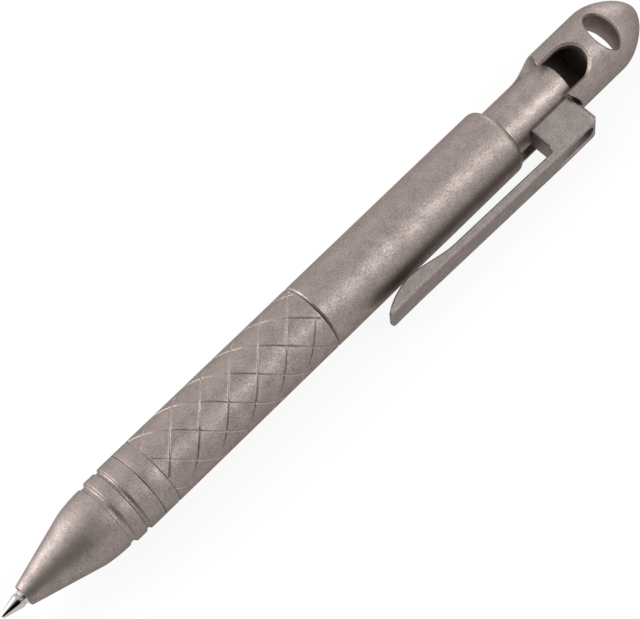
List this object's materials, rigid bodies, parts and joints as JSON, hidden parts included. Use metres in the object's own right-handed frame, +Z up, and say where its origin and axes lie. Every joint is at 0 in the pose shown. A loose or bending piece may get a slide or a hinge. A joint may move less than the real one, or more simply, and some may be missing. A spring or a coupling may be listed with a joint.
{
  "type": "bolt action pen",
  "caption": "Slim metal ballpoint pen with a cross-hatched grip and a bolt action worked by its turning pocket clip, with a lanyard hole through the cap.",
  "frame": {"origin": "on the table, under the middle of the pen's box as it lies", "axes": "+X along the pen's axis from the writing ball to the cap, +Z up from the table, -Y towards the side where the locked clip points"},
  "size_m": [0.1392, 0.0164, 0.012],
  "materials": {
    "barrel_titanium": "stonewashed",
    "bolt_titanium": "stonewashed",
    "clip_titanium": "stonewashed",
    "screw_steel": "satin",
    "pad_brass": "turned",
    "seal_rubber": "matte",
    "spring_steel": "drawn wire",
    "ball_carbide": "polished",
    "point_nickel": "turned",
    "tube_steel": "drawn",
    "ink": "wet",
    "plug_plastic": "moulded"
  },
  "bodies": {
    "barrel": {"nose_cone": "barrel_titanium", "nose_seal": "seal_rubber", "grip_barrel": "barrel_titanium", "barrel_seal": "seal_rubber", "upper_barrel": "barrel_titanium", "return_spring": "spring_steel"},
    "refill": {"refill_ball": "ball_carbide", "refill_point": "point_nickel", "refill_tube": "tube_steel", "ink_paste": "ink", "refill_plug": "plug_plastic"},
    "bolt": {"bolt_slider": "bolt_titanium", "thrust_pad": "pad_brass", "clip": "clip_titanium", "clip_screw": "screw_steel"}
  },
  "joints": [
    {"name": "bolt_press", "type": "slide", "parent": "barrel", "child": "refill", "axis": [-1, 0, 0], "range_m": [0, 0.0021], "stiffness_N_per_m": 220, "springref_m": -0.007, "deforming": ["return_spring"]},
    {"name": "clip_turn", "type": "hinge", "parent": "refill", "child": "bolt", "pos_m": [0.04, 0.00217, 0.006], "axis": [-1, 0, 0], "range_deg": [0, 78]}
  ],
  "couplings": [
    {"joint": "clip_turn", "follows": "bolt_press", "rad_per_m": 648.2}
  ]
}
